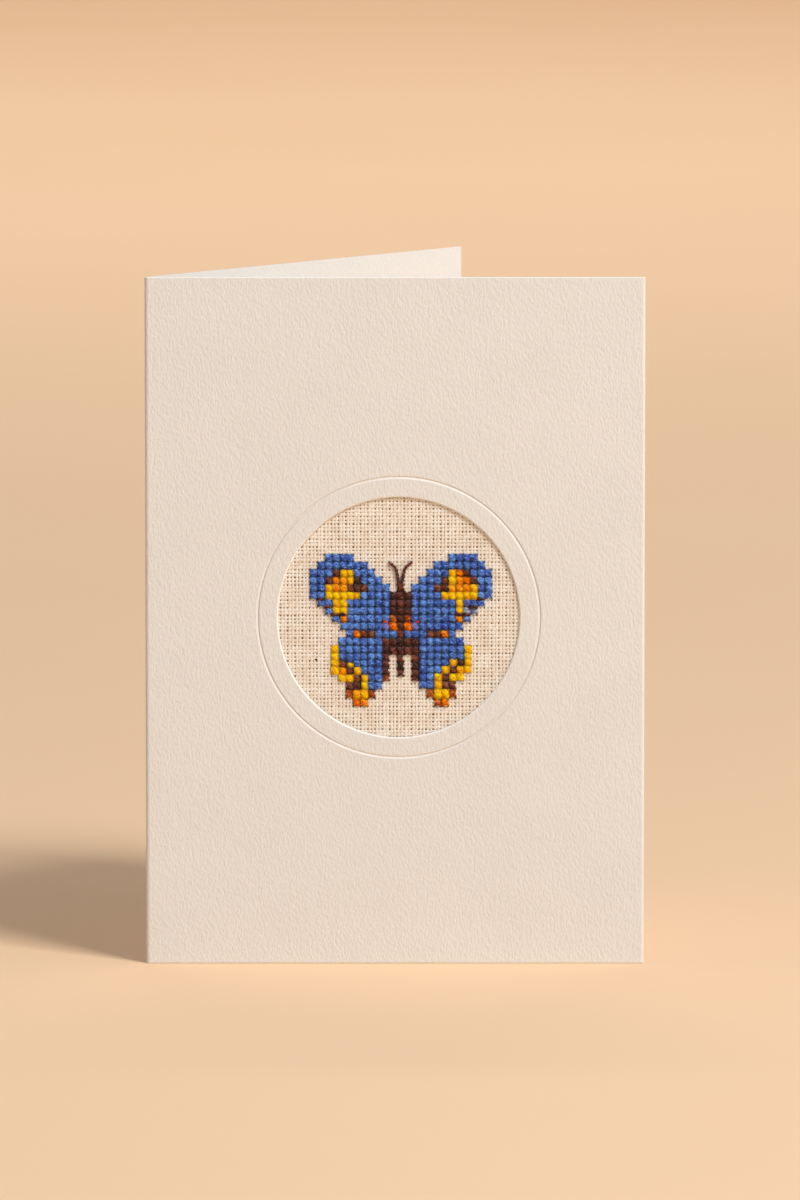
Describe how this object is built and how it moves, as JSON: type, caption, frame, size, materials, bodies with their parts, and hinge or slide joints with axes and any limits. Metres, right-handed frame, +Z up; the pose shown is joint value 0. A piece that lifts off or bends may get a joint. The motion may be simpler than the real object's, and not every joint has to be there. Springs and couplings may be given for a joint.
{
  "type": "cross-stitch butterfly greeting card",
  "caption": "Folded greeting card that stands open, with a round window framing a cross-stitched butterfly on linen.",
  "frame": {"origin": "bottom centre of the open card's box, level with the cut edges that it stands on", "axes": "+Z up; -Y towards the reader, whom the front panel faces squarely; +X to the reader's right, away from the spine"},
  "size_m": [0.12, 0.0934, 0.166],
  "materials": {
    "card_stock": "felt-marked matte",
    "linen": "natural evenweave",
    "tape": "translucent",
    "blue_thread": "stranded cotton",
    "yellow_thread": "stranded cotton",
    "amber_thread": "stranded cotton",
    "orange_thread": "stranded cotton",
    "brown_thread": "stranded cotton",
    "dark_brown_thread": "stranded cotton",
    "rust_thread": "stranded cotton"
  },
  "bodies": {
    "root": {"abdomen_stitches": "dark_brown_thread", "card_blank": "card_stock", "flap_tape_bottom": "tape", "flap_tape_spine_side": "tape", "flap_tape_top": "tape", "head_and_thorax_stitches": "dark_brown_thread", "left_antenna": "dark_brown_thread", "left_forewing_amber_stitches": "amber_thread", "left_forewing_blue_stitches": "blue_thread", "left_forewing_brown_stitches": "brown_thread", "left_forewing_orange_stitches": "orange_thread", "left_forewing_yellow_stitches": "yellow_thread", "left_hindwing_amber_stitches": "amber_thread", "left_hindwing_blue_stitches": "blue_thread", "left_hindwing_brown_stitches": "brown_thread", "left_hindwing_orange_stitches": "orange_thread", "left_hindwing_rust_stitches": "rust_thread", "left_hindwing_yellow_stitches": "yellow_thread", "linen_panel": "linen", "right_antenna": "dark_brown_thread", "right_forewing_amber_stitches": "amber_thread", "right_forewing_blue_stitches": "blue_thread", "right_forewing_brown_stitches": "brown_thread", "right_forewing_orange_stitches": "orange_thread", "right_forewing_yellow_stitches": "yellow_thread", "right_hindwing_amber_stitches": "amber_thread", "right_hindwing_blue_stitches": "blue_thread", "right_hindwing_brown_stitches": "brown_thread", "right_hindwing_orange_stitches": "orange_thread", "right_hindwing_rust_stitches": "rust_thread", "right_hindwing_yellow_stitches": "yellow_thread", "shoulder_stitches": "rust_thread", "side_spot_stitches": "orange_thread", "tail_tip_stitches": "rust_thread", "window_tape_bottom": "tape", "window_tape_left": "tape", "window_tape_right": "tape", "window_tape_top": "tape"}
  },
  "joints": []
}
